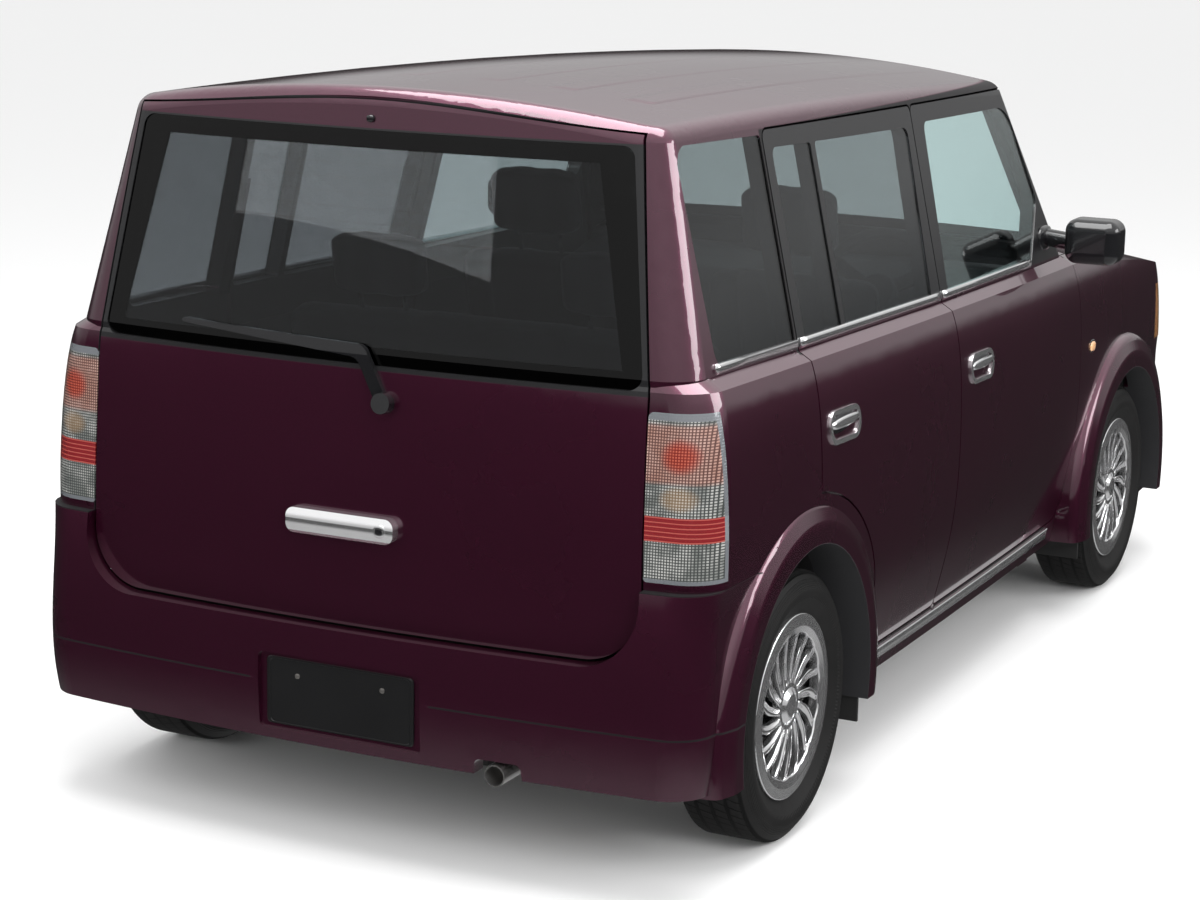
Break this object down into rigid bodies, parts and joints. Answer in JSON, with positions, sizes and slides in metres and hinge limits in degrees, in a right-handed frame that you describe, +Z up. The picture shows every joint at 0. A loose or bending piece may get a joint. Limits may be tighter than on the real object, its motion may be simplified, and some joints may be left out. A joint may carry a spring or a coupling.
{
  "type": "compact minivan",
  "caption": "Boxy compact minivan with hollow cabin, swinging side doors, lifting tailgate and bonnet, steered front wheels and rolling wheels.",
  "frame": {"origin": "on the ground, under the middle of the vehicle's length and width", "axes": "+X the vehicle's left, +Y its rear, +Z up"},
  "size_m": [1.932, 3.8248, 1.6399],
  "materials": {
    "paint": "deep aubergine metallic, high gloss",
    "trim_black": "satin black moulding",
    "chrome": "bright",
    "glass_dark": "privacy tint",
    "glass_clear": "light green tint",
    "lamp": "clear ribbed lens",
    "rubber": "matt",
    "steel": "dull",
    "cast": "dull",
    "underbody": "matt black",
    "cloth": "woven, dark grey",
    "plastic": "grained dark grey"
  },
  "bodies": {
    "body": {"side_frame_left": "paint", "side_frame_right": "paint", "roof_panel": "paint", "cowl_panel": "trim_black", "windscreen": "glass_clear", "quarter_glass": "glass_dark", "fender_left": "paint", "fender_right": "paint", "front_bumper": "paint", "rear_bumper": "paint", "floor_pan": "underbody", "bulkhead": "underbody", "rear_floor": "underbody", "grille": "trim_black", "front_lamps": "lamp", "tail_lamps": "lamp", "sill_mouldings": "chrome", "mud_flaps": "rubber", "engine": "cast", "radiator": "steel", "exhaust": "steel", "fuel_tank": "plastic", "front_subframe": "underbody", "rear_axle": "underbody", "seat_front_left": "cloth", "seat_front_right": "cloth", "seat_rear": "cloth", "dashboard": "plastic"},
    "steering_wheel": {"steering_wheel": "plastic"},
    "bonnet": {"bonnet": "paint"},
    "tailgate": {"tailgate": "paint", "tailgate_glass": "glass_dark", "tailgate_handle": "chrome", "rear_wiper": "trim_black"},
    "knuckle_left": {"knuckle_left": "cast"},
    "knuckle_right": {"knuckle_right": "cast"},
    "door_front_left": {"door_front_left": "paint", "door_front_glass_left": "glass_clear", "door_front_handle_left": "chrome", "mirror_left": "trim_black"},
    "wheel_front_left": {"tyre_front_left": "rubber", "wheel_front_left": "chrome"},
    "door_rear_left": {"door_rear_left": "paint", "door_rear_glass_left": "glass_dark", "door_rear_handle_left": "chrome"},
    "wheel_rear_left": {"tyre_rear_left": "rubber", "wheel_rear_left": "chrome"},
    "door_front_right": {"door_front_right": "paint", "door_front_glass_right": "glass_clear", "door_front_handle_right": "chrome", "mirror_right": "trim_black"},
    "wheel_front_right": {"tyre_front_right": "rubber", "wheel_front_right": "chrome"},
    "door_rear_right": {"door_rear_right": "paint", "door_rear_glass_right": "glass_dark", "door_rear_handle_right": "chrome"},
    "wheel_rear_right": {"tyre_rear_right": "rubber", "wheel_rear_right": "chrome"}
  },
  "joints": [
    {"name": "door_front_left_swing", "type": "hinge", "parent": "body", "child": "door_front_left", "pos_m": [0.8245, -0.6975, 0.7], "axis": [0, 0, -1], "range_deg": [0, 68]},
    {"name": "door_rear_left_swing", "type": "hinge", "parent": "body", "child": "door_rear_left", "pos_m": [0.8372, 0.3645, 0.7], "axis": [0, 0, -1], "range_deg": [0, 68]},
    {"name": "steer_left", "type": "hinge", "parent": "body", "child": "knuckle_left", "pos_m": [0.66, -1.1761, 0.19], "axis": [-0.1673, 0, 0.9859], "range_deg": [-35, 35]},
    {"name": "wheel_front_left_spin", "type": "hinge", "parent": "knuckle_left", "child": "wheel_front_left", "pos_m": [0.727, -1.1761, 0.3015], "axis": [1, 0, 0], "continuous": true},
    {"name": "wheel_rear_left_spin", "type": "hinge", "parent": "body", "child": "wheel_rear_left", "pos_m": [0.727, 1.3239, 0.3015], "axis": [1, 0, 0], "continuous": true},
    {"name": "door_front_right_swing", "type": "hinge", "parent": "body", "child": "door_front_right", "pos_m": [-0.8245, -0.6975, 0.7], "axis": [0, 0, 1], "range_deg": [0, 68]},
    {"name": "door_rear_right_swing", "type": "hinge", "parent": "body", "child": "door_rear_right", "pos_m": [-0.8372, 0.3645, 0.7], "axis": [0, 0, 1], "range_deg": [0, 68]},
    {"name": "steer_right", "type": "hinge", "parent": "body", "child": "knuckle_right", "pos_m": [-0.66, -1.1761, 0.19], "axis": [0.1673, 0, 0.9859], "range_deg": [-35, 35]},
    {"name": "wheel_front_right_spin", "type": "hinge", "parent": "knuckle_right", "child": "wheel_front_right", "pos_m": [-0.727, -1.1761, 0.3015], "axis": [1, 0, 0], "continuous": true},
    {"name": "wheel_rear_right_spin", "type": "hinge", "parent": "body", "child": "wheel_rear_right", "pos_m": [-0.727, 1.3239, 0.3015], "axis": [1, 0, 0], "continuous": true},
    {"name": "steering_wheel_turn", "type": "hinge", "parent": "body", "child": "steering_wheel", "pos_m": [-0.355, -0.3, 0.96], "axis": [0, 0.8829, 0.4695], "range_deg": [-525, 525]},
    {"name": "tailgate_lift", "type": "hinge", "parent": "body", "child": "tailgate", "pos_m": [0, 1.715, 1.622], "axis": [1, 0, 0], "range_deg": [0, 85]},
    {"name": "bonnet_lift", "type": "hinge", "parent": "body", "child": "bonnet", "pos_m": [0, -0.905, 1.035], "axis": [-1, 0, 0], "range_deg": [0, 50]}
  ],
  "couplings": [
    {"joint": "steer_right", "follows": "steer_left", "ratio": 1},
    {"joint": "steering_wheel_turn", "follows": "steer_left", "ratio": 15}
  ]
}
